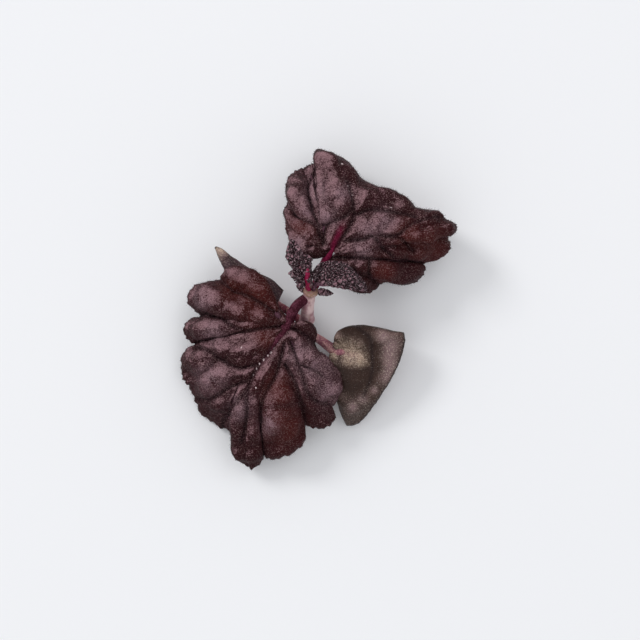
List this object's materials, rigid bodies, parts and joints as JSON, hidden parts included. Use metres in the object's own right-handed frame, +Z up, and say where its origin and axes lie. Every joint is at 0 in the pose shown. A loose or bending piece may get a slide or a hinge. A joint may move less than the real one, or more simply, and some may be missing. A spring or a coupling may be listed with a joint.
{
  "type": "microgreen plant",
  "caption": "Cut shoot of purple perilla lying flat: a pale pink stem, a pair of seed leaves, a pair of puckered true leaves and a tight tip of young leaves",
  "frame": {"origin": "under the middle of the plant's bounding box, on the surface it lies on", "axes": "+Z is up from the surface, +Y points along the stem from its cut end towards the shoot tip, +X is to the right seen from above"},
  "size_m": [0.0274, 0.032, 0.0098],
  "materials": {
    "stem": "smooth, faintly hairy, pale pink",
    "true_leaf": "velvety, dark purple brown",
    "seed_leaf": "satin, olive brown with a purple cast",
    "young_leaf": "pebbled and hairy, near-black purple",
    "bud": "hairy, near-black purple"
  },
  "bodies": {
    "root": {"stem": "stem", "true_leaf_left": "true_leaf", "true_leaf_right": "true_leaf", "seed_leaf_left": "seed_leaf", "seed_leaf_right": "seed_leaf", "young_leaf_left": "young_leaf", "young_leaf_right": "young_leaf", "shoot_tip": "bud", "side_bud_left": "bud", "side_bud_right": "bud"}
  },
  "joints": []
}
